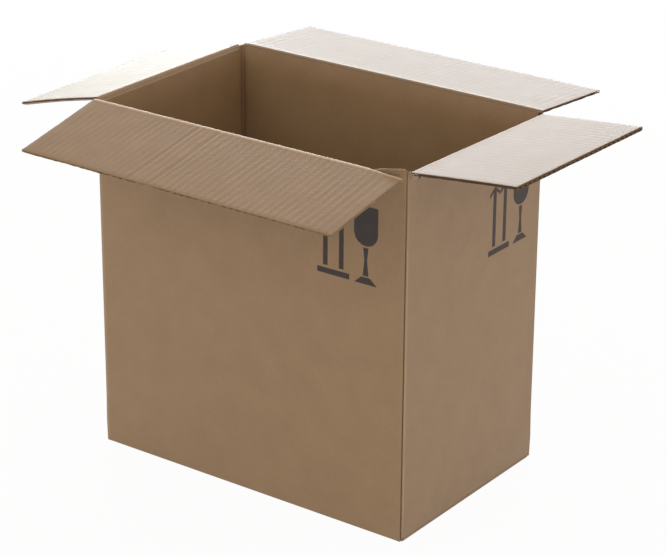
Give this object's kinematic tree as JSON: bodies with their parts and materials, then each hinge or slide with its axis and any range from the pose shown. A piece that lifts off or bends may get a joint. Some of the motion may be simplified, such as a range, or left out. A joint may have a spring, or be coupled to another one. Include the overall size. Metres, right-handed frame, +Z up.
{
  "type": "cardboard box",
  "caption": "Tall open-topped box of single wall corrugated board, its top flaps folded outward on their creases, its bottom flaps closed and glued, with printed handling marks.",
  "frame": {"origin": "centre of the underside of the closed bottom flaps, which the box stands on", "axes": "+X along the long walls towards the short wall with the print, +Y along the short walls towards the back, +Z up through the open top; the printed long wall faces -Y"},
  "size_m": [0.5808, 0.4466, 0.3771],
  "materials": {
    "board": "matte",
    "ink": "matte"
  },
  "bodies": {
    "box": {"box_body": "board", "front_handling_marks": "ink", "side_handling_marks": "ink"},
    "front_flap": {"front_flap": "board"},
    "back_flap": {"back_flap": "board"},
    "left_flap": {"left_flap": "board"},
    "right_flap": {"right_flap": "board"}
  },
  "joints": [
    {"name": "front_crease", "type": "hinge", "parent": "box", "child": "front_flap", "pos_m": [0, -0.1135, 0.3624], "axis": [1, 0, 0], "range_deg": [-191, 71]},
    {"name": "back_crease", "type": "hinge", "parent": "box", "child": "back_flap", "pos_m": [0, 0.1135, 0.3624], "axis": [-1, 0, 0], "range_deg": [-185.4, 76.6]},
    {"name": "left_crease", "type": "hinge", "parent": "box", "child": "left_flap", "pos_m": [-0.1815, 0, 0.3581], "axis": [0, -1, 0], "range_deg": [-193.7, 68.3]},
    {"name": "right_crease", "type": "hinge", "parent": "box", "child": "right_flap", "pos_m": [0.1815, 0, 0.3581], "axis": [0, 1, 0], "range_deg": [-172.2, 89.8]}
  ]
}
